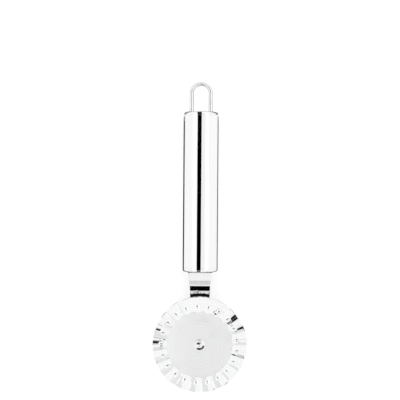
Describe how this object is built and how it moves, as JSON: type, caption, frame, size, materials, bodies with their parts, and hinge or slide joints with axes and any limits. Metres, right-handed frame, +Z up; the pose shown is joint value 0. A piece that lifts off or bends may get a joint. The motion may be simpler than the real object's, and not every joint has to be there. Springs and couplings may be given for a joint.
{
  "type": "pastry wheel",
  "caption": "Polished steel pastry wheel: a fluted cutting disc spins on a rivet at the tip of a stepped flat shank, with a round hollow handle and a wire hanging loop.",
  "frame": {"origin": "on the table that the tool lies on, under the middle of its overall length and width", "axes": "+Y along the handle towards the hanging loop, +Z up from the table on the side of the rivet's domed head, +X to the right as seen from above"},
  "size_m": [0.06, 0.1956, 0.022],
  "materials": {
    "handle_steel": "mirror-polished stainless steel",
    "wire_steel": "polished stainless steel wire",
    "shank_steel": "polished stainless steel strip",
    "wheel_steel": "polished pressed stainless steel sheet",
    "rivet_steel": "polished turned stainless steel"
  },
  "bodies": {
    "handle_and_shank": {"handle_tube": "handle_steel", "top_end_cap": "handle_steel", "bottom_end_cap": "handle_steel", "hanging_loop": "wire_steel", "shank": "shank_steel", "axle_rivet": "rivet_steel", "axle_spacer": "rivet_steel"},
    "cutting_wheel": {"wheel": "wheel_steel"}
  },
  "joints": [
    {"name": "wheel_spin", "type": "hinge", "parent": "handle_and_shank", "child": "cutting_wheel", "pos_m": [0, -0.06781, 0.011], "axis": [0, 0, 1], "continuous": true}
  ]
}
